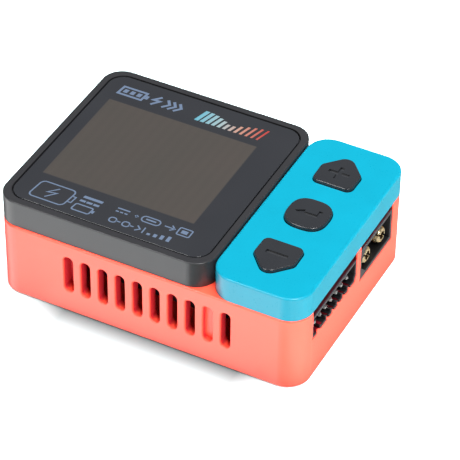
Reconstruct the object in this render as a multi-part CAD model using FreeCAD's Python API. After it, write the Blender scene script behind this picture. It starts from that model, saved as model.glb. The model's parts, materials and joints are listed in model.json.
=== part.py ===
import FreeCAD, Part

import math
import os

# Pocket balance charger: a coral housing with a dark display bezel and a
# blue three-button panel on top, sockets on both ends and a fan inside.
# Millimetres. +X is the output end, -Y the front, +Z up; the origin is on
# the floor under the middle of the housing.

Vector = FreeCAD.Vector
X_AXIS = Vector(1, 0, 0)
Y_AXIS = Vector(0, 1, 0)
Z_AXIS = Vector(0, 0, 1)

# ---- Driving dimensions -------------------------------------------------
body_length = 69.9
body_width = 50.6
housing_height = 17.6
foot_proud = 0.35
end_wall = 2.2
side_wall = 2.5
deck_thickness = 1.6
housing_set_in = 0.1
housing_draft = 0.05
body_corner = 5.0
bezel_height = 6.23
bezel_right = 13.75
panel_left = 13.9
panel_height = 5.7
cap_proud = 0.8
cap_travel = 0.5
vent_count = 10
vent_pitch = 4.0
vent_width = 2.2
vent_low = 5.15
vent_high = 14.3
pin_pitch = 2.5
pin_count = 7
bullet_spacing = 7.2
bullet_radius = 1.75
fan_size = 30.0
fan_height = 7.0
blade_count = 7

# ---- Worked-out sizes and heights ---------------------------------------
half_x = body_length / 2
half_y = body_width / 2
base = foot_proud
deck_top = base + housing_height
deck_under = deck_top - deck_thickness
inner_x = half_x - end_wall
rim_front = half_x - housing_set_in - 0.1
rim_x = rim_front - 0.2
inner_y = half_y - side_wall
cover_top = base + 2.4
bezel_top = deck_top + bezel_height
panel_top = deck_top + panel_height
panel_under = panel_top - 1.8
board_x = 32.4
board_y = 18.9
board_low = deck_under
board_top = deck_top
fan_centre = (-1.0, 0.0)
fan_low = cover_top
fan_top = fan_low + fan_height
through = 1.0

corner_posts = [(30.4, 20.6), (-30.4, 20.6), (-30.4, -20.6), (30.4, -20.6)]
foot_places = [(26.0, 15.0), (-26.0, 15.0), (-26.0, -15.0), (26.0, -15.0)]
board_bosses = [(-17.8, -16.6), (9.6, -16.6), (-17.8, 16.6), (9.6, 16.6)]
bezel_bosses = [(-28.5, -20.9), (5.5, -20.9), (-28.5, 20.9), (5.5, 20.9)]
panel_bosses = [(18.0, -21.1), (30.3, -21.1), (18.0, 21.1), (30.3, 21.1)]

button_x = 24.0
button_row_y = -0.2
socket_top = base + 15.95
socket_low = base + 8.05
bullet_z = base + 11.75
lintel = 0.3
output_y = 10.3
input_y = -5.4
header_y = -9.5
header_top = base + 15.35
pin_z = base + 12.15
usb_y = 12.0
usb_z = board_low - 1.9


# ---- Small helpers ------------------------------------------------------
def box(x0, x1, y0, y1, z0, z1):
    return Part.makeBox(x1 - x0, y1 - y0, z1 - z0, Vector(x0, y0, z0))


def rod(radius, start, length, axis=Z_AXIS):
    return Part.makeCylinder(radius, length, Vector(*start), axis)


def tube(outer, inner, start, length, axis=Z_AXIS):
    return rod(outer, start, length, axis).cut(rod(inner, start, length, axis))


def union(shapes):
    return shapes[0].multiFuse(shapes[1:]).removeSplitter()


def rounded_outline(corners, radii, height):
    """A closed wire through the corners, each rounded by its own radius."""
    points = [Vector(x, y, height) for x, y in corners]
    arcs = []
    for i, corner in enumerate(points):
        before = (points[i - 1] - corner).normalize()
        after = (points[(i + 1) % len(points)] - corner).normalize()
        half_angle = before.getAngle(after) / 2
        reach = radii[i] / math.tan(half_angle)
        middle = (before + after).normalize()
        depth = radii[i] / math.sin(half_angle) - radii[i]
        arcs.append((corner + before * reach, corner + middle * depth, corner + after * reach))
    edges = []
    for i, (start, middle, end) in enumerate(arcs):
        edges.append(Part.Arc(start, middle, end).toShape())
        edges.append(Part.LineSegment(end, arcs[(i + 1) % len(arcs)][0]).toShape())
    return Part.Wire(edges)


def raised(wire, height):
    return Part.Face(wire).extrude(Vector(0, 0, height))


def rounded_box(x0, x1, y0, y1, z0, z1, radius):
    corners = [(x0, y0), (x1, y0), (x1, y1), (x0, y1)]
    return raised(rounded_outline(corners, [radius] * 4, z0), z1 - z0)


def soften(shape, radius, wanted):
    """Round every edge whose middle point passes the test."""
    edges = [e for e in shape.Edges if wanted(e.CenterOfMass)]
    return shape.makeFillet(radius, edges)


def end_prism(corners, x0, x1):
    """A solid with an outline in the YZ plane, drawn out along X."""
    points = [Vector(x0, y, z) for y, z in corners]
    wire = Part.makePolygon(points + points[:1])
    return Part.Face(wire).extrude(Vector(x1 - x0, 0, 0))


def flat_prism(corners, z0, z1):
    points = [Vector(x, y, z0) for x, y in corners]
    wire = Part.makePolygon(points + points[:1])
    return Part.Face(wire).extrude(Vector(0, 0, z1 - z0))


def upright_slot(x, width, z0, z1, y0, y1):
    """A slot with round ends that runs along Y."""
    radius = width / 2
    body = box(x - radius, x + radius, y0, y1, z0 + radius, z1 - radius)
    low = rod(radius, (x, y0, z0 + radius), y1 - y0, Y_AXIS)
    high = rod(radius, (x, y0, z1 - radius), y1 - y0, Y_AXIS)
    return union([body, low, high])


def screw(x, y, seat, up, head_radius, head_height, shank_radius, shank_length):
    """A cross-head screw whose head sits on the seat height; up is +1 or -1."""
    way = Z_AXIS * up
    head = rod(head_radius, (x, y, seat), head_height, way * -1)
    top_edges = [e for e in head.Edges if abs(e.CenterOfMass.z - seat) > head_height * 0.9]
    head = head.makeFillet(head_height * 0.3, top_edges)
    shank = rod(shank_radius, (x, y, seat), shank_length, way)
    crown = seat - up * head_height
    low, high = sorted((crown, crown + up * head_height * 0.55))
    long, short = head_radius * 0.55, head_radius * 0.14
    cross = union([box(x - long, x + long, y - short, y + short, low, high),
                   box(x - short, x + short, y - long, y + long, low, high)])
    return head.fuse(shank).removeSplitter().cut(cross)


# ---- Outlines shared by a part and the hole it fits ----------------------
def pin_y(i):
    return header_y + pin_pitch * ((pin_count - 1) / 2 - i)


def header_outline(inset):
    """The balance header's end view: flat top, keyed lobes along the floor."""
    low = base + 9.8 + inset
    tip = base + 10.65 + inset
    right = 0.7 - inset
    left = -19.7 + inset
    top = header_top - inset
    points = [(right, top), (right, tip + 0.5), (right - 0.7, low)]
    for i in range(pin_count - 2):
        points += header_tooth(pin_y(i) + 0.15, pin_y(i) - 1.05, low, tip, inset)
    points += header_tooth(left + 3.9, left + 2.1, low, tip + 0.4, inset)
    points += [(left, low), (left, top)]
    return points


def header_tooth(slope_start, wall, low, tip, inset):
    """One key tooth: a slope up to its tip, then a straight drop."""
    return [(slope_start, low), (wall + inset, tip), (wall - inset, tip), (wall - inset, low)]


def socket_outline(centre, inset, chamfer):
    """The power socket's end view, with two corners cut when chamfer > 0."""
    y0, y1 = centre - 7.8 + inset, centre + 7.8 - inset
    z0, z1 = socket_low - 0.1 + inset, socket_top - inset
    if not chamfer:
        return [(y0, z0), (y1, z0), (y1, z1), (y0, z1)]
    return [(y0 + chamfer, z0), (y1, z0), (y1, z1), (y0 + chamfer, z1),
            (y0, z1 - chamfer), (y0, z0 + chamfer)]


def arrow_cap_outline(inset, height, flip):
    """Five-sided key that points away from the middle key."""
    corners = [(-4.45, 10.3), (4.45, 10.3), (4.55, 15.6), (0.0, 20.6), (-4.55, 15.6)]
    radii = [1.4, 1.4, 1.5, 2.2, 1.5]
    centre = 14.8
    scaled = []
    for x, y in corners:
        scale_x = (4.5 - inset) / 4.5
        scale_y = (5.0 - inset) / 5.0
        px, py = x * scale_x, centre + (y - centre) * scale_y
        scaled.append((button_x + px, button_row_y + (-py if flip else py)))
    if flip:
        scaled.reverse()
        radii = radii[::-1]
    return rounded_outline(scaled, [max(r - inset, 0.4) for r in radii], height)


def round_cap_outline(inset, height):
    """A square key with bulging sides: a superellipse."""
    half, power, count = 4.55 - inset, 2.7, 40
    points = []
    for i in range(count):
        angle = 2 * math.pi * i / count
        c, s = math.cos(angle), math.sin(angle)
        x = half * math.copysign(abs(c) ** (2 / power), c)
        y = half * math.copysign(abs(s) ** (2 / power), s)
        points.append(Vector(button_x + x, button_row_y + y, height))
    curve = Part.BSplineCurve()
    curve.interpolate(points, PeriodicFlag=True)
    return Part.Wire([curve.toShape()])


cap_shapes = {
    "up": lambda inset, height: arrow_cap_outline(inset, height, False),
    "enter": round_cap_outline,
    "down": lambda inset, height: arrow_cap_outline(inset, height, True),
}
cap_middles = {"up": 14.3 + button_row_y, "enter": button_row_y, "down": -14.3 + button_row_y}


# ---- Housing ------------------------------------------------------------
def vent_xs():
    return [-17.8 + vent_pitch * i for i in range(vent_count)]


def vent_cuts(side):
    """Ten vents in one long wall; the ninth is a shallow blind one."""
    cuts = []
    for i, x in enumerate(vent_xs()):
        depth = 1.3 if i == vent_count - 2 else side_wall + through
        if i == 0:
            depth = side_wall + 0.6
        outer = half_y + through
        y0, y1 = sorted((side * outer, side * (half_y - depth)))
        cuts.append(upright_slot(x, vent_width, base + vent_low, base + vent_high, y0, y1))
    return cuts


def board_boss(x, y):
    """A short screw boss under the board, bridged to the nearest long wall."""
    side = math.copysign(1, y)
    y0, y1 = sorted((side * (inner_y + 0.5), y))
    bridge = box(x - 1.5, x + 1.5, y0, y1, base + vent_high + 0.2, deck_under)
    boss = rod(2.4, (x, y, base + 11.4), deck_under - base - 11.4)
    return bridge.fuse(boss).removeSplitter().cut(rod(1.03, (x, y, base + 12.4), 4.0))


def vent_backing(side):
    """A rib behind the first vent, which closes it off."""
    x = vent_xs()[0]
    y0, y1 = sorted((side * (inner_y + 0.5), side * (inner_y - 1.6)))
    return box(x - 1.9, x + 1.9, y0, y1, cover_top + 0.1, deck_under)


def corner_post(x, y):
    return rod(2.5, (x, y, cover_top), 6.4)


def drafted_block():
    """The housing's outer form, a little smaller at the floor than at the deck."""
    outlines = []
    for height, inset in ((base, housing_draft), (deck_top, 0.0)):
        x, y = half_x - housing_set_in - inset, half_y - inset
        corners = [(-x, -y), (x, -y), (x, y), (-x, y)]
        outlines.append(rounded_outline(corners, [body_corner - inset] * 4, height))
    return Part.makeLoft(outlines, True, True)


def main_housing():
    shell = soften(drafted_block(), 0.5, lambda p: abs(p.z - deck_top) < 0.01)
    room = rounded_box(-inner_x, inner_x, -inner_y, inner_y, base, deck_under, 2.6)
    rabbet = rounded_box(-half_x + 1.1, half_x - 1.1, -half_y + 1.1, half_y - 1.1,
                         base, cover_top, body_corner - 1.1)
    opening = rounded_box(-board_x - 0.2, board_x + 0.2, -board_y - 0.2, board_y + 0.2,
                          deck_under, deck_top, 1.0)
    shell = shell.cut(room).cut(rabbet).cut(opening)
    shell = shell.fuse([board_boss(x, y) for x, y in board_bosses])
    shell = shell.fuse([vent_backing(-1), vent_backing(1)])
    shell = shell.fuse([corner_post(x, y) for x, y in corner_posts])
    shell = shell.cut([rod(1.28, (x, y, cover_top), 5.4) for x, y in corner_posts])
    shell = shell.cut(vent_cuts(-1) + vent_cuts(1))
    shell = soften(shell, 0.3, lambda p: abs(p.y) > half_y - 0.25
                   and base + vent_low - 0.1 < p.z < base + vent_high + 0.1 and abs(p.x) < 20)
    shell = shell.cut(socket_windows())
    shell = shell.fuse(window_lintels())
    shell = shell.cut([rod(0.95, (x, y, deck_under), deck_thickness)
                       for x, y in bezel_bosses + panel_bosses])
    return shell.removeSplitter()


def socket_windows():
    """Openings in the end walls, open at the top under the bezel or panel."""
    x0, x1 = inner_x - 0.5, half_x + through
    keyed = end_prism(header_outline(0.0), x0, x1)
    header_slit = box(x0, x1, -19.7, 0.7, header_top - 0.5, deck_top + through)
    output = box(x0, x1, output_y - 7.8, output_y + 7.8, socket_low - 0.1, deck_top + through)
    power_in = box(-x1, -x0, input_y - 7.8, input_y + 7.8, socket_low - 0.1, deck_top + through)
    usb = union([box(-x1, -x0, usb_y - 3.05, usb_y + 3.05, usb_z - 1.75, usb_z + 1.75),
                 rod(1.75, (-x1, usb_y - 3.05, usb_z), x1 - x0, X_AXIS),
                 rod(1.75, (-x1, usb_y + 3.05, usb_z), x1 - x0, X_AXIS)])
    return [keyed, header_slit, output, power_in, usb]


def window_lintels():
    """Thin bars across the windows, behind each socket's front rim."""
    x0, x1 = inner_x, rim_x - 0.05
    return [box(x0, x1, -19.8, 0.8, header_top - lintel, header_top),
            box(x0, x1, output_y - 7.9, output_y + 7.9, socket_top - lintel, socket_top),
            box(-x1, -x0, input_y - 7.9, input_y + 7.9, socket_top - lintel, socket_top)]


def grille_slots():
    """Nine slots that fill a circle under the fan."""
    slots = []
    pitch, width, reach = 3.0, 1.7, 13.6
    for i in range(-4, 5):
        offset = i * pitch
        half = math.sqrt(reach ** 2 - offset ** 2) - width / 2
        x, y = fan_centre[0] + offset, fan_centre[1]
        slots.append(rounded_box(x - width / 2, x + width / 2, y - half, y + half,
                                 base - 1, cover_top + 1, width / 2 - 0.01))
    return slots


def bottom_cover():
    fit = 1.2
    plate = rounded_box(-half_x + fit, half_x - fit, -half_y + fit, half_y - fit,
                        base, cover_top, body_corner - fit)
    cuts = grille_slots()
    for x, y in corner_posts:
        cuts.append(rod(2.4, (x, y, base), 1.6))
        cuts.append(rod(1.4, (x, y, base), 2.4))
    for x, y in foot_places:
        cuts.append(rod(3.85, (x, y, base), 0.6))
    return plate.cut(cuts)


def housing_screws():
    return [screw(x, y, base + 1.6, 1, 2.25, 1.4, 1.25, 6.0) for x, y in corner_posts]


def rubber_feet():
    feet = []
    for x, y in foot_places:
        foot = rod(3.75, (x, y, 0), foot_proud + 0.6)
        feet.append(soften(foot, 0.3, lambda p: p.z < 0.01))
    return feet


# ---- Display ------------------------------------------------------------
glass_x0, glass_x1, glass_y = -33.05, 11.95, 22.9
glass_gap = 0.34
screen_x0, screen_x1, screen_y0, screen_y1 = -30.0, 5.0, -13.7, 14.3
ledge_top = bezel_top - 1.35


def display_bezel():
    y = half_y - 0.45
    shell = rounded_box(-half_x, bezel_right, -y, y, deck_top, bezel_top, 4.7)
    shell = soften(shell, 0.3, lambda p: abs(p.z - bezel_top) < 0.01)
    room = rounded_box(-half_x + 1.8, bezel_right - 1.8, -y + 1.8, y - 1.8,
                       deck_top, ledge_top - 1.2, 3.0)
    well = rounded_box(-31.6, 10.25, -21.1, 21.1, deck_top, bezel_top, 2.4)
    gap = glass_gap
    pocket = rounded_box(glass_x0 - gap, glass_x1 + gap, -glass_y - gap, glass_y + gap,
                         ledge_top, bezel_top, 3.5 + gap)
    shell = shell.cut([room, pocket])
    posts = [rod(1.7, (x, y, deck_top), ledge_top - 1.2 - deck_top) for x, y in bezel_bosses]
    shell = shell.fuse(posts).cut(well)
    return shell.cut([rod(0.88, (x, y, deck_top), 3.2) for x, y in bezel_bosses])


def display_window():
    glass = rounded_box(glass_x0, glass_x1, -glass_y, glass_y, bezel_top - 1.05, bezel_top - 0.05, 3.5)
    return soften(glass, 0.12, lambda p: abs(p.z - bezel_top + 0.05) < 0.01)


def display_gasket():
    outer = rounded_box(glass_x0 + 0.2, glass_x1 - 0.2, -glass_y + 0.2, glass_y - 0.2,
                        ledge_top, bezel_top - 1.05, 3.3)
    return outer.cut(rounded_box(-31.6, 10.25, -21.1, 21.1, ledge_top, bezel_top - 1.05, 2.4))


def display_mask():
    z1 = bezel_top - 1.05
    sheet = rounded_box(-31.5, 10.15, -21.0, 21.0, z1 - 0.1, z1, 2.3)
    return sheet.cut(box(screen_x0, screen_x1, screen_y0, screen_y1, z1 - 0.2, z1))


panel_x0, panel_x1, panel_half_y = -31.3, 8.6, 17.2
lcd_top = bezel_top - 1.3
lcd_low = lcd_top - 1.3
tray_low = deck_top + 1.4


def lcd_panel():
    top = box(panel_x0, panel_x1 - 2.4, -panel_half_y, panel_half_y, lcd_low + 0.7, lcd_top)
    bottom = box(panel_x0, panel_x1, -panel_half_y, panel_half_y, lcd_low, lcd_low + 0.7)
    return top.fuse(bottom).removeSplitter()


def backlight_tray():
    return box(panel_x0 - 0.2, panel_x1 + 0.2, -panel_half_y - 0.3, panel_half_y + 0.3, tray_low, lcd_low)


def foam_strips():
    return [box(panel_x0 + 1, panel_x1 - 1, y - 1.0, y + 1.0, board_top, tray_low) for y in (-13.2, 13.2)]


def flex_cable():
    """A flat tail that leaves the glass edge and folds down to the board."""
    half_width = 6.0
    x0, x_bend = panel_x1 - 1.4, panel_x1 + 0.45
    z_top, z_low, radius = lcd_low + 0.85, board_top + 0.45, 0.75
    path = Part.Wire([
        Part.LineSegment(Vector(x0, 0, z_top), Vector(x_bend, 0, z_top)).toShape(),
        Part.Arc(Vector(x_bend, 0, z_top),
                 Vector(x_bend + radius * math.sin(math.pi / 4), 0,
                        z_top - radius + radius * math.cos(math.pi / 4)),
                 Vector(x_bend + radius, 0, z_top - radius)).toShape(),
        Part.LineSegment(Vector(x_bend + radius, 0, z_top - radius),
                         Vector(x_bend + radius, 0, z_low)).toShape()])
    section = Part.makePolygon([Vector(x0, -half_width, z_top - 0.07), Vector(x0, half_width, z_top - 0.07),
                                Vector(x0, half_width, z_top + 0.07), Vector(x0, -half_width, z_top + 0.07),
                                Vector(x0, -half_width, z_top - 0.07)])
    return path.makePipeShell([section], True, False)


def display_connector():
    x = panel_x1 + 1.2
    block = box(x - 0.6, x + 0.8, -7.2, 7.2, board_top, board_top + 1.2)
    return block.cut(box(x - 0.15, x + 0.15, -6.2, 6.2, board_top + 0.4, board_top + 1.2))


# ---- Button panel and keys ----------------------------------------------
def button_panel():
    y = half_y - 0.25
    x1 = half_x
    shell = rounded_box(panel_left, x1, -y, y, deck_top, panel_top, 5.0)
    shell = soften(shell, 0.5, lambda p: abs(p.z - panel_top) < 0.01)
    room = rounded_box(panel_left + 1.7, x1 - 1.7, -y + 1.7, y - 1.7, deck_top, panel_under, 3.3)
    shell = shell.cut(room)
    shell = shell.fuse([rod(1.6, (x, y, deck_top), panel_under - deck_top + 0.2) for x, y in panel_bosses])
    shell = shell.cut([rod(0.88, (x, y, deck_top), 3.2) for x, y in panel_bosses])
    holes = [raised(outline(-0.15, panel_under - 0.5), 4.0) for outline in cap_shapes.values()]
    return shell.cut(holes)


def key_mark(name, y):
    """The engraved symbol: plus, return arrow or minus."""
    z0, z1 = panel_top + cap_proud - 0.45, panel_top + cap_proud + 1
    x = button_x
    if name == "up":
        return union([box(x - 2.3, x + 2.3, y - 0.45, y + 0.45, z0, z1),
                      box(x - 0.45, x + 0.45, y - 2.0, y + 2.0, z0, z1)])
    if name == "down":
        return box(x - 2.4, x + 2.4, y - 0.45, y + 0.45, z0, z1)
    head = flat_prism([(x - 2.9, y - 0.3), (x - 0.9, y - 1.3), (x - 0.9, y + 0.7)], z0, z1)
    bar = box(x - 1.0, x + 2.6, y - 0.7, y + 0.1, z0, z1)
    hook = box(x + 1.8, x + 2.6, y - 0.7, y + 1.5, z0, z1)
    return union([head, bar, hook])


flange_low = panel_under - 0.85
plunger_top = flange_low - 0.4


def button_cap(name):
    outline = cap_shapes[name]
    middle = cap_middles[name]
    top = panel_top + cap_proud
    cap = raised(outline(0.0, flange_low), top - flange_low)
    cap = soften(cap, 0.35, lambda p: abs(p.z - top) < 0.01)
    flange = raised(outline(-0.8, flange_low), 0.8)
    stem = rod(1.6, (button_x, middle, plunger_top), flange_low - plunger_top)
    return union([cap, flange, stem]).cut(key_mark(name, middle))


def switch_plunger(name):
    low = board_top + 0.4 + cap_travel
    return rod(1.3, (button_x, cap_middles[name], low), plunger_top - low)


def switch_body(name):
    y = cap_middles[name]
    half = 2.4
    body = box(button_x - half, button_x + half, y - half, y + half, board_top, board_top + 1.9)
    well = rod(1.4, (button_x, y, board_top + 0.3), 2.0)
    feet = [box(button_x + sx * 2.7 - 0.5, button_x + sx * 2.7 + 0.5, y + sy * 1.7 - 0.35,
                y + sy * 1.7 + 0.35, board_top, board_top + 0.2) for sx in (-1, 1) for sy in (-1, 1)]
    return body.fuse(feet).removeSplitter().cut(well)


def top_cover_screws():
    return [screw(x, y, deck_under, 1, 1.5, 1.0, 0.85, 4.6) for x, y in bezel_bosses + panel_bosses]


# ---- Boards and sockets -------------------------------------------------
def board_hole_places():
    """Through holes for the socket tails."""
    holes = [(rear_leg_x, output_y + s * bullet_spacing / 2, 0.95) for s in (-1, 1)]
    holes += [(-rear_leg_x, input_y + s * bullet_spacing / 2, 0.95) for s in (-1, 1)]
    holes += [(header_leg_x, pin_y(i), 0.5) for i in range(pin_count)]
    return holes


rear_leg_x = 19.6
header_leg_x = 28.3


def main_board():
    board = rounded_box(-board_x, board_x, -board_y, board_y, board_low, board_top, 0.8)
    cuts = [rod(r, (x, y, board_low), deck_thickness) for x, y, r in board_hole_places()]
    cuts += [rod(1.1, (x, y, board_low), deck_thickness) for x, y in board_bosses]
    return board.cut(cuts)


def board_screws():
    return [screw(x, y, board_top, -1, 1.8, 1.1, 1.0, 4.4) for x, y in board_bosses]


def power_shroud(centre):
    """Socket body with its mouth at +X: a rim, a keyed cavity and a rear block."""
    rear = 18.6
    inset = 0.12
    rim = end_prism(socket_outline(centre, inset, 0), rim_x, rim_front)
    lower = [(y, min(z, socket_top - lintel - 0.02)) for y, z in socket_outline(centre, inset, 0)]
    sleeve = end_prism(lower, rear + 5.0, rim_x)
    block = box(rear, rear + 5.0, centre - 7.6, centre + 7.6, socket_low, board_low)
    cavity = end_prism(socket_outline(centre, 0.75, 2.2), rear + 7.5, rim_front)
    body = union([rim, sleeve, block]).cut(cavity)
    for side in (-1, 1):
        y = centre + side * bullet_spacing / 2
        z = bullet_z
        body = body.cut(rod(bullet_radius + 0.02, (rear + 6.0, y, z), 2.0, X_AXIS))
        body = body.cut(rod(1.02, (rear_leg_x - 0.92, y, z), 6.2, X_AXIS))
        body = body.cut(box(rear - 1, rear_leg_x + 1.02, y - 1.02, y + 1.02, z - 1.02, board_low + 0.1))
    return body


def power_pins(centre):
    """Two hollow split bullets with a rear leg up through the board."""
    pins = []
    reach = bullet_radius + 0.3
    for side in (-1, 1):
        y = centre + side * bullet_spacing / 2
        z = bullet_z
        tip, root = half_x - 0.5, 24.6
        bullet = rod(bullet_radius, (root, y, z), tip - root, X_AXIS)
        bullet = soften(bullet, 0.5, lambda p: p.x > tip - 0.01)
        bore = rod(0.95, (root + 2.5, y, z), tip - root, X_AXIS)
        slit = box(root + 3.0, tip + 1, y - 0.2, y + 0.2, z - reach, z + reach)
        slits = [slit.copy(), slit.copy()]
        for turn, gap in zip((-30, 60), slits):
            gap.rotate(Vector(root, y, z), X_AXIS, turn)
        tail = rod(1.0, (rear_leg_x - 0.9, y, z), root - rear_leg_x + 0.9, X_AXIS)
        leg = rod(0.85, (rear_leg_x, y, z), board_top + 0.8 - z)
        pins.append(union([bullet.cut([bore] + slits), tail, leg]))
    return pins


def turned(shape):
    """The same socket at the other end, facing -X."""
    copy = shape.copy()
    copy.rotate(Vector(0, 0, 0), Z_AXIS, 180)
    return copy


def tooth_clearings():
    """Gaps in the header's floor that leave the housing's own teeth bare at the mouth."""
    low, tip = base + 9.8, base + 10.65
    spans = [(pin_y(i) - 1.05, pin_y(i) - 0.15) for i in range(pin_count - 2)]
    spans.append((-17.6, -16.1))
    return [box(inner_x + 0.3, half_x, y0, y1, low - 0.1, tip + 0.9) for y0, y1 in spans]


def balance_header():
    rear, block_depth = 25.4, 3.8
    rim = end_prism(header_outline(0.1), rim_x, rim_front)
    lower = [(y, min(z, header_top - lintel - 0.02)) for y, z in header_outline(0.1)]
    sleeve = end_prism(lower, rear + block_depth, rim_x)
    block = box(rear, rear + block_depth, -19.5, 0.5, base + 9.95, board_low)
    cavity = end_prism(header_outline(0.5), rear + block_depth + 0.2, rim_front)
    body = union([rim, sleeve, block]).cut(cavity)
    holes = []
    for i in range(pin_count):
        y, z = pin_y(i), pin_z
        holes.append(box(header_leg_x - 0.35, rear + block_depth + 0.5,
                         y - 0.34, y + 0.34, z - 0.34, z + 0.34))
        holes.append(box(header_leg_x - 0.35, header_leg_x + 0.35, y - 0.34, y + 0.34,
                         z - 0.34, board_low + 0.1))
    return body.cut(holes + tooth_clearings())


def balance_pins():
    pins = []
    half = 0.32
    for i in range(pin_count):
        y, z = pin_y(i), pin_z
        tip = half_x - 0.85
        straight = box(header_leg_x - half, tip, y - half, y + half, z - half, z + half)
        straight = straight.makeChamfer(0.14, [e for e in straight.Edges if e.CenterOfMass.x > tip - 0.01])
        leg = box(header_leg_x - half, header_leg_x + half, y - half, y + half, z - half, board_top + 0.8)
        pins.append(union([straight, leg]))
    return pins


def usb_shell():
    """An open-mouthed stadium tube with a closed rear end, facing -X."""
    outer = stadium(4.4, 1.6, usb_z, -rim_front, 7.3)
    inner = stadium(4.1, 1.3, usb_z, -rim_front - 0.1, 6.9)
    stays = box(-half_x + 3.0, -half_x + 4.2, usb_y - 4.0, usb_y + 4.0, usb_z + 1.5, board_low)
    return outer.fuse(stays).removeSplitter().cut(inner)


def stadium(half_width, half_height, z, x0, length):
    flat = half_width - half_height
    return union([box(x0, x0 + length, usb_y - flat, usb_y + flat, z - half_height, z + half_height),
                  rod(half_height, (x0, usb_y - flat, z), length, X_AXIS),
                  rod(half_height, (x0, usb_y + flat, z), length, X_AXIS)])


def usb_tongue():
    tongue = box(-half_x + 0.8, -half_x + 6.0, usb_y - 3.2, usb_y + 3.2, usb_z - 0.35, usb_z + 0.35)
    block = stadium(4.05, 1.25, usb_z, -half_x + 5.4, 1.55)
    return tongue.fuse(block).removeSplitter()


# ---- Power stage, hung under the board ----------------------------------
sink_x0, sink_x1, sink_y = -14.4, 11.2, 13.6


def heatsink():
    top, root, low = board_low - 1.5, board_low - 2.7, board_low - 6.0
    plate = box(sink_x0, sink_x1, -sink_y, sink_y, root, top)
    fins = []
    count = 9
    step = (sink_x1 - sink_x0 - 1.0) / (count - 1)
    for i in range(count):
        x = sink_x0 + i * step
        fins.append(box(x, x + 1.0, -sink_y, sink_y, low, root))
    return union([plate] + fins)


def thermal_pad():
    return box(sink_x0 + 2, sink_x1 - 2, -10.5, 10.5, board_low - 1.5, board_low - 1.0)


def power_transistors():
    return [box(x - 2.6, x + 2.6, y - 3.0, y + 3.0, board_low - 1.0, board_low)
            for x in (-9.0, -1.6, 5.8) for y in (-6.0, 6.0)]


inductor_places = [(18.0, -6.0), (-21.2, 8.6)]


def inductor_cores():
    cores = []
    for x, y in inductor_places:
        core = rounded_box(x - 5.2, x + 5.2, y - 5.2, y + 5.2, board_low - 5.6, board_low - 0.3, 1.0)
        cores.append(core.cut(tube(4.2, 1.7, (x, y, board_low - 4.6), 5.0)))
    return cores


def inductor_windings():
    coils = []
    for x, y in inductor_places:
        turns = [tube(4.1, 1.8, (x, y, board_low - 4.55 + 0.7 * i), 0.62) for i in range(5)]
        turns.append(tube(3.2, 1.8, (x, y, board_low - 4.55), 3.42))
        coils.append(union(turns))
    return coils


def capacitors():
    cans = []
    for x, y in [(15.3, 4.4), (15.3, 10.2), (-30.0, -16.3), (-24.0, -16.3)]:
        can = rod(2.5, (x, y, board_low - 5.9), 5.9)
        can = can.cut(tube(2.6, 2.3, (x, y, board_low - 0.9), 0.4))
        cans.append(soften(can, 0.3, lambda p: p.z < board_low - 5.89))
    return cans


def shunt_resistors():
    return [box(x - 1.5, x + 1.5, y - 0.8, y + 0.8, board_low - 0.7, board_low)
            for x, y in [(-6.5, -16.6), (-11.0, -16.6), (3.6, -16.6)]]


def controller_chip():
    body = box(-12.0, -5.0, -3.5, 3.5, board_top + 0.12, board_top + 1.1)
    legs = []
    for i in range(12):
        along = -3.0 + i * 0.545
        for side in (-1, 1):
            x, y = -8.5 + along, side * 4.0
            legs.append(box(x - 0.12, x + 0.12, min(y, side * 3.4), max(y, side * 3.4),
                            board_top, board_top + 0.3))
    return union([body] + legs)


def driver_chips():
    places = [(-23.4, -8.0), (-23.4, 8.0), (1.5, 8.0), (1.5, -8.0)]
    return [box(x - 2.0, x + 2.0, y - 2.5, y + 2.5, board_top, board_top + 0.95) for x, y in places]


def chip_parts():
    """Rows of small capacitors and resistors on the board's top face."""
    parts = []
    for x in (-27.0, -16.5, -3.0, 6.0):
        for y in (-11.5, -4.0, 4.0, 11.5):
            parts.append(box(x - 0.8, x + 0.8, y - 0.4, y + 0.4, board_top, board_top + 0.5))
    return parts


def buzzer():
    body = rounded_box(20.9, 27.7, 3.7, 9.9, board_top, board_top + 1.7, 0.5)
    return body.cut(rod(0.6, (24.0, 6.8, board_top + 0.8), 1.0))


# ---- Fan ----------------------------------------------------------------
fx, fy = fan_centre
hub_low = fan_low + 0.5
hub_floor = hub_low + 0.9
hub_top = fan_low + 5.4
neck_low = hub_floor + 0.8


def fan_frame():
    half = fan_size / 2
    frame = rounded_box(fx - half, fx + half, fy - half, fy + half, fan_low, fan_top, 2.0)
    frame = frame.cut(rod(14.2, (fx, fy, fan_low), fan_height))
    frame = frame.cut([rod(1.6, (fx + sx * 12.6, fy + sy * 12.6, fan_low), fan_height)
                       for sx in (-1, 1) for sy in (-1, 1)])
    plate = rod(6.6, (fx, fy, fan_top - 1.0), 1.0)
    spokes = []
    for i in range(3):
        arm = box(fx + 5.0, fx + 14.6, fy - 0.9, fy + 0.9, fan_top - 1.0, fan_top)
        arm.rotate(Vector(fx, fy, 0), Z_AXIS, 90 + 120 * i)
        spokes.append(arm)
    neck = tube(2.0, 1.3, (fx, fy, neck_low), fan_top - 1.0 - neck_low)
    return union([frame, plate] + spokes + [neck])


def fan_bearing():
    return tube(1.3, 0.78, (fx, fy, neck_low), fan_top - 1.0 - neck_low)


def fan_stator():
    """Four wound poles round the bearing neck."""
    ring = tube(3.0, 2.0, (fx, fy, fan_low + 2.4), 2.6)
    poles = []
    for i in range(4):
        pole = box(fx + 2.6, fx + 4.7, fy - 0.7, fy + 0.7, fan_low + 2.7, fan_low + 4.7)
        tip = box(fx + 4.4, fx + 4.9, fy - 1.5, fy + 1.5, fan_low + 2.7, fan_low + 4.7)
        for piece in (pole, tip):
            piece.rotate(Vector(fx, fy, 0), Z_AXIS, 90 * i)
            poles.append(piece)
    return union([ring] + poles)


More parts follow.
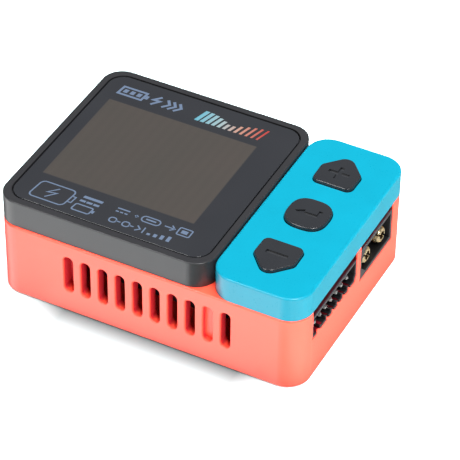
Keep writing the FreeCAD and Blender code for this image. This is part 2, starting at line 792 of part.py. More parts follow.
def fan_rotor():
    """A closed hub cup that carries the swept blades."""
    cup = rod(6.9, (fx, fy, hub_low), hub_top - hub_low).cut(rod(6.1, (fx, fy, hub_floor), 10))
    cup = soften(cup, 0.4, lambda p: p.z < hub_low + 0.01)
    blades = []
    for i in range(blade_count):
        blades.append(fan_blade(hub_low + 0.2, hub_top - 0.2, 360 / blade_count * i))
    socket = tube(1.6, 0.75, (fx, fy, hub_floor), 0.5)
    return union([cup, socket] + blades)


def fan_blade(low, high, turn):
    """One blade: a curved sheet that leans along the turn as it rises."""
    root, tip = 6.6, 13.5
    sections = []
    for level in (low, high):
        lean = math.radians(26) * (level - low) / (high - low)
        corners = []
        for radius, sweep, side in ((root, 0, 0), (tip, 20, 0), (tip, 20, 1), (root, 0, 1)):
            angle = math.radians(sweep) - lean + side * 0.75 / radius
            corners.append(Vector(fx + radius * math.cos(angle), fy + radius * math.sin(angle), level))
        sections.append(Part.makePolygon(corners + corners[:1]))
    blade = Part.makeLoft(sections, True, True)
    blade.rotate(Vector(fx, fy, 0), Z_AXIS, turn)
    return blade


def fan_magnet():
    return tube(6.1, 5.35, (fx, fy, fan_low + 1.6), 3.6)


def fan_shaft():
    return rod(0.75, (fx, fy, hub_floor), fan_top - 1.2 - hub_floor)


def fan_plug():
    block = box(-3.6, 1.6, 15.2, 18.6, board_low - 3.2, board_low)
    return block.cut([rod(0.45, (x, 17.0, board_low - 3.2), 1.4) for x in (-2.25, 0.25)])


def fan_lead():
    """Two wires from the fan frame's edge, bent up into the plug."""
    wires = []
    low, high, bend = fan_low + 5.0, board_low - 2.4, 0.9
    for x in (-2.25, 0.25):
        start, corner = Vector(x, fy + fan_size / 2, low), Vector(x, 17.0, low)
        mid = Vector(x, 17.0 - bend + bend * math.sin(math.pi / 4), low + bend - bend * math.cos(math.pi / 4))
        path = Part.Wire([
            Part.LineSegment(start, corner - Vector(0, bend, 0)).toShape(),
            Part.Arc(corner - Vector(0, bend, 0), mid, corner + Vector(0, 0, bend)).toShape(),
            Part.LineSegment(corner + Vector(0, 0, bend), Vector(x, 17.0, high)).toShape()])
        section = Part.Wire([Part.makeCircle(0.4, start, Y_AXIS)])
        wires.append(path.makePipeShell([section], True, False))
    return wires


# ---- Export -------------------------------------------------------------
def sub_parts():
    parts = {
        "main_housing": main_housing(),
        "bottom_cover": bottom_cover(),
        "housing_screws": housing_screws(),
        "rubber_feet": rubber_feet(),
        "display_bezel": display_bezel(),
        "display_window": display_window(),
        "display_gasket": display_gasket(),
        "display_mask": display_mask(),
        "lcd_panel": lcd_panel(),
        "backlight_tray": backlight_tray(),
        "foam_strips": foam_strips(),
        "flex_cable": flex_cable(),
        "display_connector": display_connector(),
        "button_panel": button_panel(),
        "top_cover_screws": top_cover_screws(),
        "main_board": main_board(),
        "board_screws": board_screws(),
        "output_socket_shroud": power_shroud(output_y),
        "output_socket_pins": power_pins(output_y),
        "input_socket_shroud": turned(power_shroud(-input_y)),
        "input_socket_pins": [turned(pin) for pin in power_pins(-input_y)],
        "balance_header": balance_header(),
        "balance_header_pins": balance_pins(),
        "usb_c_shell": usb_shell(),
        "usb_c_tongue": usb_tongue(),
        "heatsink": heatsink(),
        "thermal_pad": thermal_pad(),
        "power_transistors": power_transistors(),
        "inductor_cores": inductor_cores(),
        "inductor_windings": inductor_windings(),
        "capacitors": capacitors(),
        "shunt_resistors": shunt_resistors(),
        "controller_chip": controller_chip(),
        "driver_chips": driver_chips(),
        "chip_parts": chip_parts(),
        "buzzer": buzzer(),
        "fan_frame": fan_frame(),
        "fan_bearing": fan_bearing(),
        "fan_stator": fan_stator(),
        "fan_rotor": fan_rotor(),
        "fan_magnet": fan_magnet(),
        "fan_shaft": fan_shaft(),
        "fan_plug": fan_plug(),
        "fan_lead": fan_lead(),
    }
    for name in cap_shapes:
        parts[name + "_button_cap"] = button_cap(name)
        parts[name + "_switch_plunger"] = switch_plunger(name)
        parts[name + "_switch_body"] = switch_body(name)
    return parts


os.makedirs("parts", exist_ok=True)
for node, shape in sub_parts().items():
    if isinstance(shape, list):
        shape = Part.makeCompound(shape)
    if not shape.isValid():
        print("not valid:", node)
    print(f"{node}: {len(shape.Solids)} solids, {shape.Volume:.1f} mm3")
    shape.exportStep(f"parts/{node}.step")
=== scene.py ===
import json
import math

import bpy
from mathutils import Matrix, Vector

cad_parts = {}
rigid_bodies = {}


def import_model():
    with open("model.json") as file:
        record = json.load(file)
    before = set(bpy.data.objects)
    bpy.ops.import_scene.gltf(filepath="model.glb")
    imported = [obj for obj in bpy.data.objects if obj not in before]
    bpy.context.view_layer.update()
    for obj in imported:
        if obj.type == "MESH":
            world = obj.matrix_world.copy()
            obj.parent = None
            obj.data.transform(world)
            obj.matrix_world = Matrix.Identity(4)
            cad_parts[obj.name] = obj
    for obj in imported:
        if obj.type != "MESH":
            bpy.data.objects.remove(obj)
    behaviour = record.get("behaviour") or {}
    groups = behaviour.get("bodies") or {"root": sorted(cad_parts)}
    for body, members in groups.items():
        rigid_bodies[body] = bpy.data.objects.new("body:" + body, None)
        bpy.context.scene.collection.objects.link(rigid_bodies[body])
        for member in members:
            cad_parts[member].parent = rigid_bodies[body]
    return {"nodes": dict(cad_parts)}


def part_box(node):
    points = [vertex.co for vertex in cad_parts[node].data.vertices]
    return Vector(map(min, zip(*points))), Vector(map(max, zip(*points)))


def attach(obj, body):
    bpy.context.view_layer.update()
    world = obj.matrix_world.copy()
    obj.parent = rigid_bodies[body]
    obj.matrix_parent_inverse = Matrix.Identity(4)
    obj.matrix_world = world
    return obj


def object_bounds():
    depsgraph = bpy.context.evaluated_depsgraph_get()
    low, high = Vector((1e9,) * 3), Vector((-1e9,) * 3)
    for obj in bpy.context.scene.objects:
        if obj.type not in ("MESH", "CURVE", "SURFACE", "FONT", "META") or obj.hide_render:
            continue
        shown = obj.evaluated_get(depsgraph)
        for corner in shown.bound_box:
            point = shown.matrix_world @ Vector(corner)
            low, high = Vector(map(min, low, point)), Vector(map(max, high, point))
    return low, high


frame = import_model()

# Looks for the pocket balance charger: moulded plastics, the bonded display
# glass with its generic printed marks, plated contacts, and a bright studio.
# Metres throughout; MM turns millimetres into metres.

MM = 0.001
NODES = frame["nodes"]

for stray in list(bpy.data.objects):
    if stray.name in ("Cube", "Light", "Camera") and stray.name not in NODES:
        bpy.data.objects.remove(stray)

cad_low, cad_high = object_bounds()
middle = (cad_low + cad_high) / 2

# ---- Colours, linear ----------------------------------------------------
CORAL = (0.95, 0.076, 0.042)
VENT_SHADE_RED = (0.56, 0.022, 0.032)        # painted shade: coral deep inside a vent
GAP_SHADE_RED = (0.085, 0.003, 0.006)        # painted shade: coral in the gap above the sockets
TOOTH_SHADE_RED = (0.150, 0.002, 0.008)      # painted shade: the coral teeth at the balance header, in deep shade
CYAN = (0.002, 0.186, 0.268)
CHARCOAL = (0.0188, 0.0190, 0.0208)
KEY_BLACK = (0.0160, 0.0172, 0.0198)
SOCKET_BLACK = (0.008, 0.008, 0.009)
RIM_HIGHLIGHT = (0.075, 0.068, 0.072)         # painted highlight along a socket's rim
GOLD = (1.0, 0.78, 0.46)
BORE_SHADE_GOLD = (0.10, 0.05, 0.015)        # painted shade: gold deep in a bullet's bore
PALE_INK = (0.077, 0.105, 0.157)
INK_FLECK = (0.02, 0.02, 0.025)
PAPER = (0.75, 0.93, 0.95)
WARM = (1.0, 0.98, 0.88)

# ---- Places on the case -------------------------------------------------
CASE_CORNER = 5 * MM                   # radius of the housing's upright corners
SOCKET_GAP = 15.4 * MM                 # the painted shade in the gap above the sockets starts at this height
POWER_RIM = 16.18 * MM                 # top of the power sockets' rims
HEADER_RIM = 15.6 * MM                 # top of the balance header's rim
MOUTH = 34.5 * MM                      # the painted highlight on the rims starts this far out along X
BULLET_SPACING = 7.2 * MM
BULLET_HEIGHT = 12.1 * MM
BORE_DARK = 1.0 * MM                   # the painted shade reaches this far from a bullet's axis
TOOTH_PITCH = 2.5 * MM
TOOTH_SHIFT = 2.6 * MM                 # one band of painted shade on the header is this far in front of Y = 0
SCREEN_LEFT, SCREEN_RIGHT = 3.05 * MM, 6.95 * MM    # the glass's margins round the screen
SCREEN_FRONT, SCREEN_REAR = 9.2 * MM, 8.6 * MM
INK_PROUD = 0.005 * MM
INK_THICKNESS = 0.012 * MM

# ---- Light --------------------------------------------------------------
SKY = 0.10
TOP_BOX = 2.65
RIM_BOX = 0.6
EDGE_BOX = 0.6
KICK = 1.7
PAPER_GLOW = 0.42
RIGHT_GLOW = 3.2                       # the paper to the right of the charger
FRONT_GLOW = 1.3                       # the paper in front of it
CONTACT = 0.17                         # paper left at full contact shadow
SHADOW_LEFT = (-37 * MM, -19 * MM)     # where the contact shadow fades in and out, in plan
SHADOW_RIGHT = (21 * MM, 33 * MM)
SHADOW_REAR = (-16 * MM, -10 * MM)
SHADOW_REACH = 14 * MM
FLOOR_REACH = 1.5                      # half the paper's width
SHEEN_DROP, SHEEN_REACH = 0.4, 4.0     # the sheet that gloss mirrors: depth, half its width
SHEEN_EDGE, SHEEN_FADE = -0.09, 0.07   # along X it is bright up to here, and fades this far each way
SHEEN_FRONT, SHEEN_BACK = -0.15, 0.1   # along Y it fades between these
SHEEN_LOW, SHEEN_HIGH = 0.25, 3.3


# ---- Node helpers -------------------------------------------------------
class Shade:
    """One procedural material: its principled shader and small node helpers."""

    def __init__(self, name, roughness, ior=1.5, metallic=0.0, specular=0.5):
        self.material = bpy.data.materials.new(name)
        self.material.use_nodes = True
        self.tree = self.material.node_tree
        self.tree.nodes.clear()
        self.output = self.tree.nodes.new("ShaderNodeOutputMaterial")
        self.shader = self.tree.nodes.new("ShaderNodeBsdfPrincipled")
        self.link(self.shader.outputs["BSDF"], self.output.inputs["Surface"])
        self.shader.inputs["Roughness"].default_value = roughness
        self.shader.inputs["IOR"].default_value = ior
        self.shader.inputs["Metallic"].default_value = metallic
        self.shader.inputs["Specular IOR Level"].default_value = specular
        coordinates = self.tree.nodes.new("ShaderNodeTexCoord")
        self.place = coordinates.outputs["Object"]
        self.facing = coordinates.outputs["Normal"]
        self.bump_normal = None

    def link(self, source, target):
        self.tree.links.new(source, target)

    def noise(self, size_mm, detail=3.0, rough=0.55, stretch=(1, 1, 1)):
        """Noise with features about size_mm across, as a 0 to 1 value."""
        mapping = self.tree.nodes.new("ShaderNodeMapping")
        mapping.inputs["Scale"].default_value = [s / (size_mm * MM) for s in stretch]
        self.link(self.place, mapping.inputs["Vector"])
        node = self.tree.nodes.new("ShaderNodeTexNoise")
        node.inputs["Scale"].default_value = 1.0
        node.inputs["Detail"].default_value = detail
        node.inputs["Roughness"].default_value = rough
        self.link(mapping.outputs["Vector"], node.inputs["Vector"])
        return node.outputs["Fac"]

    def ramp(self, value, stops):
        """A colour ramp through (position, colour) stops."""
        node = self.tree.nodes.new("ShaderNodeValToRGB")
        elements = node.color_ramp.elements
        while len(elements) < len(stops):
            elements.new(0.5)
        for element, (position, colour) in zip(elements, stops):
            element.position = position
            element.color = (*colour, 1)
        self.link(value, node.inputs["Fac"])
        return node.outputs["Color"]

    def remap(self, value, low, high, new_low, new_high):
        """Value moved from one range to another, and held at its ends."""
        node = self.tree.nodes.new("ShaderNodeMapRange")
        node.inputs["From Min"].default_value = low
        node.inputs["From Max"].default_value = high
        node.inputs["To Min"].default_value = new_low
        node.inputs["To Max"].default_value = new_high
        self.link(value, node.inputs["Value"])
        return node.outputs["Result"]

    def rise(self, value, start, end):
        return self.remap(value, start, end, 0, 1)

    def fall(self, value, start, end):
        return self.remap(value, start, end, 1, 0)

    def math(self, operation, first, second=0):
        """One sum on node outputs or plain numbers."""
        node = self.tree.nodes.new("ShaderNodeMath")
        node.operation = operation
        for socket, value in zip(node.inputs, (first, second)):
            if isinstance(value, (int, float)):
                socket.default_value = value
            else:
                self.link(value, socket)
        return node.outputs["Value"]

    def times(self, first, second):
        return self.math("MULTIPLY", first, second)

    def mix(self, factor, first, second):
        """The first colour going to the second as factor goes from 0 to 1."""
        node = self.tree.nodes.new("ShaderNodeMix")
        node.data_type = "RGBA"
        if isinstance(factor, (int, float)):
            node.inputs["Factor"].default_value = factor
        else:
            self.link(factor, node.inputs["Factor"])
        for socket, value in ((node.inputs["A"], first), (node.inputs["B"], second)):
            if isinstance(value, tuple):
                socket.default_value = (*value, 1)
            else:
                self.link(value, socket)
        return node.outputs["Result"]

    def bands(self, radian_mm, direction="X"):
        """Soft parallel bands, 0 to 1; radian_mm is their pitch over two pi."""
        node = self.tree.nodes.new("ShaderNodeTexWave")
        node.bands_direction = direction
        radians_per_scale = 20
        node.inputs["Scale"].default_value = 1 / (radian_mm * MM) / radians_per_scale
        self.link(self.place, node.inputs["Vector"])
        return node.outputs["Fac"]

    def axis(self, index, source=None):
        """X, Y or Z (index 0, 1, 2) of the place, or of another vector."""
        node = self.tree.nodes.new("ShaderNodeSeparateXYZ")
        self.link(source or self.place, node.inputs["Vector"])
        return node.outputs[index]

    def bump(self, height, depth_mm):
        """Relief depth_mm deep, on top of any bump given before."""
        node = self.tree.nodes.new("ShaderNodeBump")
        node.inputs["Strength"].default_value = 1.0
        node.inputs["Distance"].default_value = depth_mm * MM
        self.link(height, node.inputs["Height"])
        if self.bump_normal is not None:
            self.link(self.bump_normal, node.inputs["Normal"])
        self.bump_normal = node.outputs["Normal"]
        self.link(self.bump_normal, self.shader.inputs["Normal"])

    def colour(self, value):
        self.link(value, self.shader.inputs["Base Color"])

    def roughness(self, value):
        self.link(value, self.shader.inputs["Roughness"])


def tint(colour, factor):
    """The colour made lighter or darker by a factor."""
    return tuple(min(c * factor, 1.0) for c in colour)


def inside_box(shade, x0, x1, y0, y1, blur):
    """1 inside a rectangle in plan, 0 outside, fading over blur on each side of its edges."""
    x, y = shade.axis(0), shade.axis(1)
    across = shade.times(shade.rise(x, x0 - blur, x0 + blur), shade.fall(x, x1 - blur, x1 + blur))
    along = shade.times(shade.rise(y, y0 - blur, y0 + blur), shade.fall(y, y1 - blur, y1 + blur))
    return shade.times(across, along)


# ---- Materials ----------------------------------------------------------
def moulded(name, colour, roughness, grain_mm, grain_depth_mm, mottle=0.04, specular=0.5, finish=None):
    """Injection-moulded plastic: a spark-eroded grain, faint flow mottle, uneven gloss.

    A finish takes the shade and its base colour, and gives the colour to use.
    """
    shade = Shade(name, roughness, specular=specular)
    flow = shade.noise(7.0, detail=2.0, stretch=(1, 1, 0.4))
    grain = shade.noise(grain_mm, detail=2.0, rough=0.6)
    base = shade.ramp(flow, [(0.3, tint(colour, 1 - mottle)), (0.7, tint(colour, 1 + mottle))])
    fleck = shade.remap(grain, 0.35, 0.65, 0.0, 0.5)
    base = shade.mix(fleck, base, tint(colour, 1 + mottle))
    shade.colour(finish(shade, base) if finish else base)
    shade.roughness(shade.remap(grain, 0.3, 0.7, roughness - 0.05, roughness + 0.05))
    shade.bump(grain, grain_depth_mm)
    shade.bump(flow, grain_depth_mm * 1.5)
    return shade.material


def depth_in_wall(shade):
    """How far a point lies inside the housing's rounded outline."""
    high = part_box("main_housing")[1]
    x = shade.math("SUBTRACT", shade.math("ABSOLUTE", shade.axis(0)), high.x - CASE_CORNER)
    y = shade.math("SUBTRACT", shade.math("ABSOLUTE", shade.axis(1)), high.y - CASE_CORNER)
    inner = shade.math("MINIMUM", shade.math("MAXIMUM", x, y))
    x, y = shade.math("MAXIMUM", x), shade.math("MAXIMUM", y)
    outer = shade.math("SQRT", shade.math("ADD", shade.times(x, x), shade.times(y, y)))
    return shade.math("SUBTRACT", CASE_CORNER, shade.math("ADD", inner, outer))


def vent_shade_mask(shade, depth, below_deck):
    """Where shade is painted: 1 on a vent's end-facing jambs and deep inside it."""
    endways = shade.rise(shade.math("ABSOLUTE", shade.axis(0, shade.facing)), 0.3, 0.8)
    jambs = shade.times(endways, shade.rise(depth, 0.2 * MM, 0.7 * MM))
    return shade.times(below_deck, shade.math("MAXIMUM", jambs, shade.rise(depth, 1.5 * MM, 2.6 * MM)))


def gap_shade_mask(shade, depth, below_deck):
    """Where shade is painted: 1 behind the wall's face, between the sockets and the deck."""
    above = shade.rise(shade.axis(2), SOCKET_GAP, SOCKET_GAP + 0.2 * MM)
    return shade.times(above, shade.times(below_deck, shade.rise(depth, 0.15 * MM, 0.4 * MM)))


def header_shade_mask(shade, depth):
    """Where shade is painted: 1 on the teeth round the balance header's window."""
    low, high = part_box("balance_header")
    across = shade.times(shade.rise(shade.axis(1), low.y - 0.2 * MM, low.y),
                         shade.fall(shade.axis(1), high.y, high.y + 0.2 * MM))
    right_end = shade.rise(shade.axis(0), 30 * MM, 31 * MM)
    inside = shade.times(right_end, shade.rise(depth, 0.1 * MM, 0.3 * MM))
    above_sill = shade.rise(shade.axis(2), 9.4 * MM, 9.8 * MM)
    return shade.times(shade.times(across, inside), above_sill)


def painted_shade_inside(shade, base):
    """The housing's colour with painted shade: deeper red in its vents and, more, above the sockets and at
    the header.
    """
    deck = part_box("main_housing")[1].z
    depth = depth_in_wall(shade)
    below_deck = shade.fall(shade.axis(2), deck - 0.5 * MM, deck - 0.3 * MM)
    red = shade.mix(vent_shade_mask(shade, depth, below_deck), base, VENT_SHADE_RED)
    red = shade.mix(header_shade_mask(shade, depth), red, TOOTH_SHADE_RED)
    return shade.mix(gap_shade_mask(shade, depth, below_deck), red, GAP_SHADE_RED)


def lit_rim(rim_top):
    """A finish for black sockets with a painted highlight: the front rim is paler, most along its top
    edge.
    """
    def finish(shade, base):
        near_top = shade.remap(shade.axis(2), rim_top - 0.14 * MM, rim_top - 0.06 * MM, 0.45, 1)
        at_mouth = shade.rise(shade.math("ABSOLUTE", shade.axis(0)), MOUTH, MOUTH + 0.1 * MM)
        return shade.mix(shade.times(near_top, at_mouth), base, RIM_HIGHLIGHT)
    return finish


def toothed_rim(rim_top):
    """The header's finish: a painted highlight on its rim, and deep red bands painted on it as the
    housing's teeth in shade.
    """
    rim = lit_rim(rim_top)

    def finish(shade, base):
        # Painted shade: the red bands stand in for the housing's coral teeth in deep shade.
        pitch = shade.math("DIVIDE", shade.math("ADD", shade.axis(1), TOOTH_SHIFT), TOOTH_PITCH)
        phase = shade.math("FRACT", shade.math("ADD", pitch, 0.5))
        off_tooth = shade.math("ABSOLUTE", shade.math("SUBTRACT", phase, 0.5))
        band = shade.fall(off_tooth, 0.17, 0.23)
        low = shade.times(shade.fall(shade.axis(2), 12.0 * MM, 12.6 * MM),
                          shade.fall(shade.axis(1), -1.8 * MM, -1.6 * MM))
        behind_rim = shade.fall(shade.axis(0), MOUTH - 0.2 * MM, MOUTH)
        teeth = shade.times(band, shade.times(low, behind_rim))
        return rim(shade, shade.mix(teeth, base, TOOTH_SHADE_RED))
    return finish


def dark_bores(socket):
    """A finish for the bullets in this power socket: painted shade keeps their bores dark."""
    low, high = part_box(socket)
    centre = (low.y + high.y) / 2

    def finish(shade, base):
        pair = shade.math("ABSOLUTE", shade.math("SUBTRACT", shade.axis(1), centre))
        across = shade.math("SUBTRACT", pair, BULLET_SPACING / 2)
        above = shade.math("SUBTRACT", shade.axis(2), BULLET_HEIGHT)
        squares = shade.math("ADD", shade.times(across, across), shade.times(above, above))
        bore = shade.fall(shade.math("SQRT", squares), BORE_DARK - 0.03 * MM, BORE_DARK)
        return shade.mix(bore, base, BORE_SHADE_GOLD)
    return finish


def plated(name, colour, roughness, brush_mm, stretch, depth_mm, metallic=1.0, finish=None):
    """Metal with fine directional marks and faint tarnish."""
    shade = Shade(name, roughness, metallic=metallic)
    tarnish = shade.noise(1.4, detail=3.0)
    marks = shade.noise(brush_mm, detail=2.0, stretch=stretch)
    base = shade.ramp(tarnish, [(0.3, tint(colour, 0.88)), (0.65, colour)])
    shade.colour(finish(shade, base) if finish else base)
    shade.roughness(shade.remap(marks, 0.3, 0.7, roughness * 0.75, roughness * 1.3))
    shade.bump(marks, depth_mm)
    return shade.material


def cover_glass():
    """Black-printed cover glass with the dark screen bonded behind it."""
    low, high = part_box("display_window")
    shade = Shade("cover_glass", 0.06, ior=1.52)
    screen = inside_box(shade, low.x + SCREEN_LEFT, high.x - SCREEN_RIGHT,
                        low.y + SCREEN_FRONT, high.y - SCREEN_REAR, 0.16 * MM)
    drift = shade.noise(14.0, detail=1.0)
    panel = shade.ramp(drift, [(0.3, (0.039, 0.034, 0.031)), (0.7, (0.036, 0.033, 0.030))])
    columns = shade.remap(shade.bands(0.35), 0, 1, 0.0, 0.12)
    panel = shade.mix(columns, panel, (0.028, 0.026, 0.025))
    ink = shade.ramp(drift, [(0.3, (0.0165, 0.0175, 0.0205)), (0.7, (0.0185, 0.0195, 0.0225))])
    shade.colour(shade.mix(screen, ink, panel))
    smudge = shade.noise(5.0, detail=4.0, rough=0.6)
    shade.roughness(shade.remap(smudge, 0.35, 0.75, 0.04, 0.11))
    shade.bump(shade.noise(9.0, detail=0.0), 0.006)
    return shade.material


def printed_ink(name, stops):
    """Screen-print ink whose colour runs along X through the given stops."""
    shade = Shade(name, 0.35)
    low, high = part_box("display_window")
    along = shade.rise(shade.axis(0), low.x, high.x)
    speckle = shade.noise(0.12, detail=1.0)
    fleck = shade.remap(speckle, 0.4, 0.8, 0, 0.25)
    shade.colour(shade.mix(fleck, shade.ramp(along, stops), INK_FLECK))
    shade.bump(speckle, 0.004)
    return shade.material


def laminate():
    """Black solder mask over copper, with raised tracks and the glass weave."""
    track_pitch = 2.2 * MM
    shade = Shade("solder_mask", 0.32)
    tracks = shade.tree.nodes.new("ShaderNodeTexBrick")
    tracks.inputs["Scale"].default_value = 1 / track_pitch
    tracks.inputs["Mortar Size"].default_value = 0.06
    shade.link(shade.place, tracks.inputs["Vector"])
    shade.colour(shade.mix(tracks.outputs["Fac"], (0.008, 0.010, 0.012), (0.022, 0.028, 0.030)))
    shade.bump(tracks.outputs["Fac"], 0.03)
    shade.bump(shade.noise(0.25, detail=1.0), 0.01)
    return shade.material


def copper_coil():
    """Enamelled wire: parallel ridges on a warm metal."""
    shade = Shade("enamelled_copper", 0.28, metallic=0.9)
    ridges = shade.bands(0.35, "Z")
    shade.colour(shade.mix(ridges, (0.42, 0.13, 0.04), (0.80, 0.33, 0.13)))
    shade.bump(ridges, 0.05)
    return shade.material


def two_wires():
    """Red and black insulation, split at the middle between the wires."""
    low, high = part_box("fan_lead")
    shade = Shade("wire_insulation", 0.38)
    split, blur = (low.x + high.x) / 2, 0.1 * MM
    side = shade.rise(shade.axis(0), split - blur, split + blur)
    drag = shade.noise(0.3, stretch=(1, 1, 0.1))
    shade.colour(shade.mix(side, (0.42, 0.012, 0.01), (0.012, 0.012, 0.013)))
    shade.roughness(shade.remap(drag, 0.3, 0.7, 0.3, 0.46))
    shade.bump(drag, 0.01)
    return shade.material


def dress_nodes():
    """Every CAD node gets its finished material."""
    shell_coral = moulded("coral_shell_look", CORAL, 0.34, 0.3, 0.003, finish=painted_shade_inside)
    case_coral = moulded("coral_plastic_look", CORAL, 0.34, 0.3, 0.003)
    case_cyan = moulded("cyan_plastic_look", CYAN, 0.32, 0.3, 0.0025, specular=0.40)
    charcoal = moulded("bezel_look", CHARCOAL, 0.34, 0.3, 0.002, mottle=0.06, specular=0.46)
    keys = moulded("key_look", KEY_BLACK, 0.24, 0.5, 0.0002, mottle=0.06)
    socket, power_socket, header = [
        moulded(name, SOCKET_BLACK, 0.36, 0.25, 0.004, mottle=0.1, finish=finish)
        for name, finish in (("socket_look", None), ("power_socket_look", lit_rim(POWER_RIM)),
                             ("header_look", toothed_rim(HEADER_RIM)))]
    fan_black = moulded("fan_look", (0.010, 0.010, 0.011), 0.45, 0.15, 0.01, mottle=0.1)
    nylon = moulded("nylon_look", (0.72, 0.70, 0.64), 0.40, 0.2, 0.008)
    rubber = moulded("foot_look", (0.020, 0.020, 0.021), 0.75, 0.09, 0.02, mottle=0.15)
    foam = moulded("foam_look", (0.016, 0.016, 0.017), 0.9, 0.22, 0.06, mottle=0.2)
    epoxy = moulded("chip_look", (0.018, 0.018, 0.020), 0.55, 0.08, 0.01, mottle=0.15)
    ceramic = moulded("ceramic_look", (0.40, 0.27, 0.16), 0.35, 0.1, 0.01, mottle=0.1)
    ferrite = moulded("ferrite_look", (0.050, 0.050, 0.054), 0.6, 0.12, 0.03, mottle=0.2)
    pad = moulded("pad_look", (0.30, 0.34, 0.42), 0.8, 0.18, 0.02, mottle=0.1)
    film = moulded("film_look", (0.55, 0.24, 0.03), 0.25, 0.3, 0.004, mottle=0.1)
    ink = moulded("mask_look", (0.012, 0.012, 0.013), 0.5, 0.1, 0.003, mottle=0.1)
    gold_out, gold_in = [
        plated(name, GOLD, 0.26, 2.0, (0.15, 1, 1), 0.0005, metallic=0.85, finish=dark_bores(body))
        for name, body in (("gold_output", "output_socket_shroud"),
                           ("gold_input", "input_socket_shroud"))]
    tin = plated("tin_look", (0.42, 0.41, 0.41), 0.26, 0.6, (0.2, 1, 1), 0.0005, metallic=0.6)
    steel = plated("steel_look", (0.60, 0.60, 0.61), 0.32, 0.25, (1, 0.15, 1), 0.006)
    dark_steel = plated("screw_look", (0.26, 0.26, 0.28), 0.38, 0.2, (1, 1, 0.3), 0.01)
    aluminium = plated("aluminium_look", (0.72, 0.73, 0.75), 0.40, 0.25, (1, 0.08, 1), 0.012)
    brass = plated("bearing_look", (0.72, 0.52, 0.24), 0.45, 0.15, (1, 1, 1), 0.02)
    looks = {
        shell_coral: ["main_housing"],
        case_coral: ["bottom_cover"],
        case_cyan: ["button_panel"],
        charcoal: ["display_bezel"],
        keys: ["up_button_cap", "enter_button_cap", "down_button_cap"],
        power_socket: ["output_socket_shroud", "input_socket_shroud"],
        header: ["balance_header"],
        socket: ["usb_c_tongue", "buzzer",
                 "up_switch_plunger", "enter_switch_plunger", "down_switch_plunger"],
        fan_black: ["fan_frame", "fan_rotor"],
        nylon: ["display_connector", "fan_plug", "backlight_tray"],
        rubber: ["rubber_feet"],
        foam: ["display_gasket", "foam_strips"],
        epoxy: ["power_transistors", "controller_chip", "driver_chips"],
        ceramic: ["chip_parts"],
        ferrite: ["inductor_cores", "fan_magnet"],
        pad: ["thermal_pad"],
        film: ["flex_cable"],
        ink: ["display_mask", "lcd_panel"],
        gold_out: ["output_socket_pins"],
        gold_in: ["input_socket_pins"],
        tin: ["balance_header_pins"],
        steel: ["usb_c_shell", "up_switch_body", "enter_switch_body", "down_switch_body",
                "fan_shaft", "fan_stator", "shunt_resistors"],
        dark_steel: ["housing_screws", "board_screws", "top_cover_screws"],
        aluminium: ["heatsink", "capacitors"],
        brass: ["fan_bearing"],
        cover_glass(): ["display_window"],
        laminate(): ["main_board"],
        copper_coil(): ["inductor_windings"],
        two_wires(): ["fan_lead"],
    }
    for material, names in looks.items():
        for name in names:
            for slot in NODES[name].material_slots:
                slot.material = material
    dressed = {name for names in looks.values() for name in names}
    assert dressed == set(NODES), set(NODES) - dressed


# ---- Printed marks ------------------------------------------------------
# A mark is a list of shapes, and a shape is a ring of (x, y) points in
# millimetres on the glass. foot and head are a mark's lowest and highest Y.
def bar(x0, x1, y0, y1):
    """One filled rectangle."""
    return [[(x0, y0), (x1, y0), (x1, y1), (x0, y1)]]


def strokes(points, width, closed=False):
    """A polyline drawn as one quad per run, mitred where runs meet."""
    least_cosine = 0.4      # caps the mitre at sharp turns
    count = len(points)
    offsets = []
    normals = []
    runs = count if closed else count - 1
    for i in range(runs):
        a, b = Vector(points[i]), Vector(points[(i + 1) % count])
        way = (b - a).normalized()
        normals.append(Vector((-way.y, way.x)))
    for i in range(count):
        before = normals[i - 1] if (i or closed) else normals[0]
        after = normals[i % runs] if (i < runs or closed) else normals[-1]
        mean = (before + after).normalized()
        offsets.append(mean * (width / 2 / max(mean.dot(after), least_cosine)))
    quads = []
    for i in range(runs):
        j = (i + 1) % count
        a, b = Vector(points[i]), Vector(points[j])
        quads.append([tuple(a - offsets[i]), tuple(b - offsets[j]),
                      tuple(b + offsets[j]), tuple(a + offsets[i])])
    return quads


def rounded(x0, x1, y0, y1, radius):
    """The outline of a rectangle with rounded corners."""
    steps = 5
    points = []
    for cx, cy, start in ((x1 - radius, y1 - radius, 0), (x0 + radius, y1 - radius, 90),
                          (x0 + radius, y0 + radius, 180), (x1 - radius, y0 + radius, 270)):
        for i in range(steps + 1):
            angle = math.radians(start + 90 * i / steps)
            points.append((cx + radius * math.cos(angle), cy + radius * math.sin(angle)))
    return points


def lean(shapes, foot, slope):
    """The shapes slanted to the right, slope across for each unit up from their foot."""
    return [[(x + (y - foot) * slope, y) for x, y in shape] for shape in shapes]


def repeat(count, pitch, x0, x1, y0, y1):
    """A row of equal rectangles."""
    shapes = []
    for i in range(count):
        shapes += bar(x0 + pitch * i, x1 + pitch * i, y0, y1)
    return shapes


def print_on_glass(name, shapes, material):
    """Flat ink on the glass: each shape is a thin closed slab."""
    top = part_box("display_window")[1].z + INK_PROUD
    low = top - INK_THICKNESS
    vertices, faces = [], []
    for shape in shapes:
        first, count = len(vertices), len(shape)
        vertices += [(x * MM, y * MM, low) for x, y in shape]
        vertices += [(x * MM, y * MM, top) for x, y in shape]
        faces.append([first + i for i in reversed(range(count))])
        faces.append([first + count + i for i in range(count)])
        for i in range(count):
            j = (i + 1) % count
            faces.append([first + i, first + j, first + count + j, first + count + i])
    mesh = bpy.data.meshes.new(name)
    mesh.from_pydata(vertices, [], faces)
    mesh.materials.append(material)
    piece = bpy.data.objects.new(name, mesh)
    bpy.context.scene.collection.objects.link(piece)
    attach(piece, "case")


def chevron(x, reach, foot, head, width):
    """An arrow head that points right, its open side at x."""
    return strokes([(x, head), (x + reach, (foot + head) / 2), (x, foot)], width)


